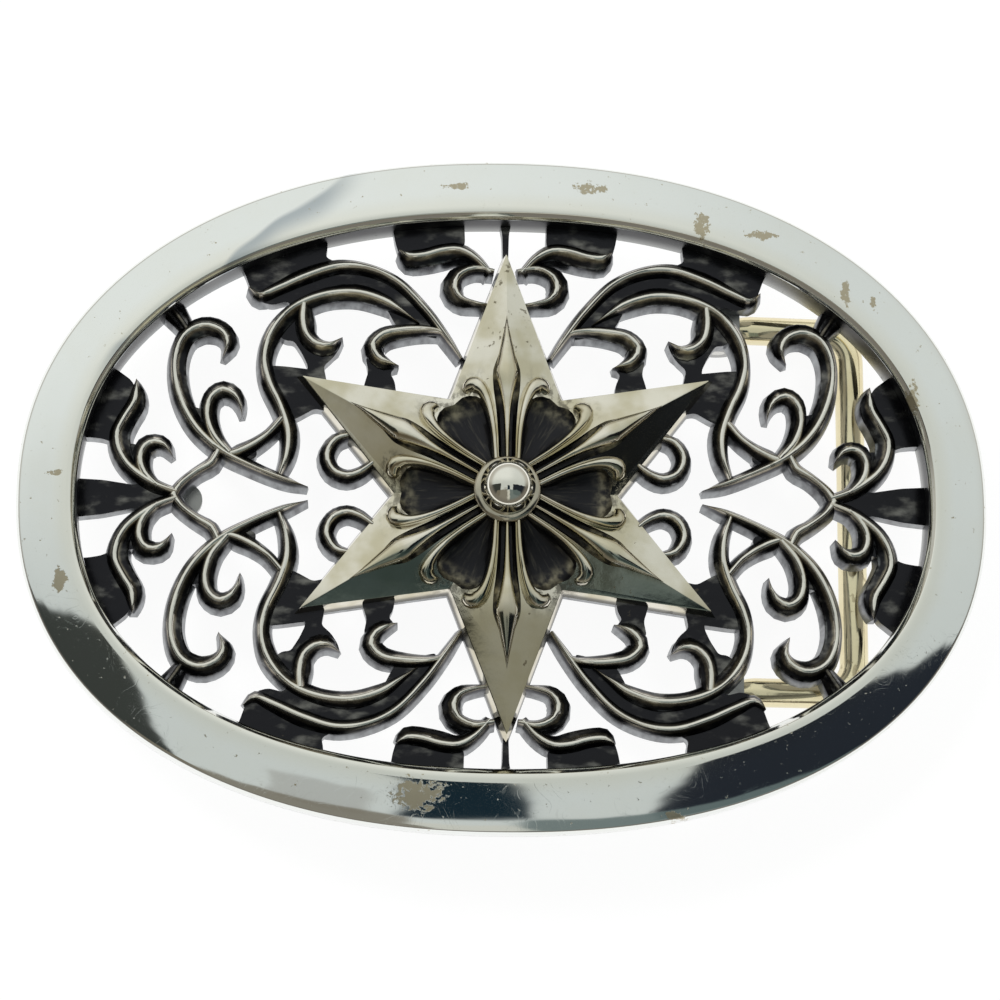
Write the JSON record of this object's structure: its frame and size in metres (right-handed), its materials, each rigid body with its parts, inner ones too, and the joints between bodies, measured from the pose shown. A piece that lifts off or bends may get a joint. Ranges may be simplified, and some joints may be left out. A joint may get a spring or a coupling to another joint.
{
  "type": "belt buckle",
  "caption": "Oval pierced plate buckle for a belt, with a raised star, a fixed hook post and a swinging bail on the back.",
  "frame": {"origin": "middle of the buckle's footprint at its lowest level, as it lies on its back on the bail and the hook", "axes": "+X along the belt from hook to bail, +Y across the belt, +Z out of the decorated face"},
  "size_m": [0.1, 0.07, 0.0161],
  "materials": {
    "polished_silver": "hand-polished white silver with fine wear",
    "oxidised_silver": "blackened recesses, polished crests",
    "warm_silver": "polished silver with a warm tarnish and dark hollows",
    "mirror_silver": "mirror polish",
    "pale_brass": "polished pale brass",
    "pin_steel": "drawn wire, lightly polished"
  },
  "bodies": {
    "plate": {"rim": "polished_silver", "scroll_panel": "oxidised_silver", "star": "warm_silver", "bead_cup": "warm_silver", "centre_bead": "mirror_silver", "bead_washer": "oxidised_silver", "hook_pad": "oxidised_silver", "hook_post": "pale_brass", "bail_lug_upper": "oxidised_silver", "bail_lug_lower": "oxidised_silver", "bail_pin_upper": "pin_steel", "bail_pin_lower": "pin_steel"},
    "bail": {"bail": "pale_brass"}
  },
  "joints": [
    {"name": "bail_hinge", "type": "hinge", "parent": "plate", "child": "bail", "pos_m": [0.0225, 0, 0.003], "axis": [0, 1, 0], "range_deg": [0, 165]}
  ]
}
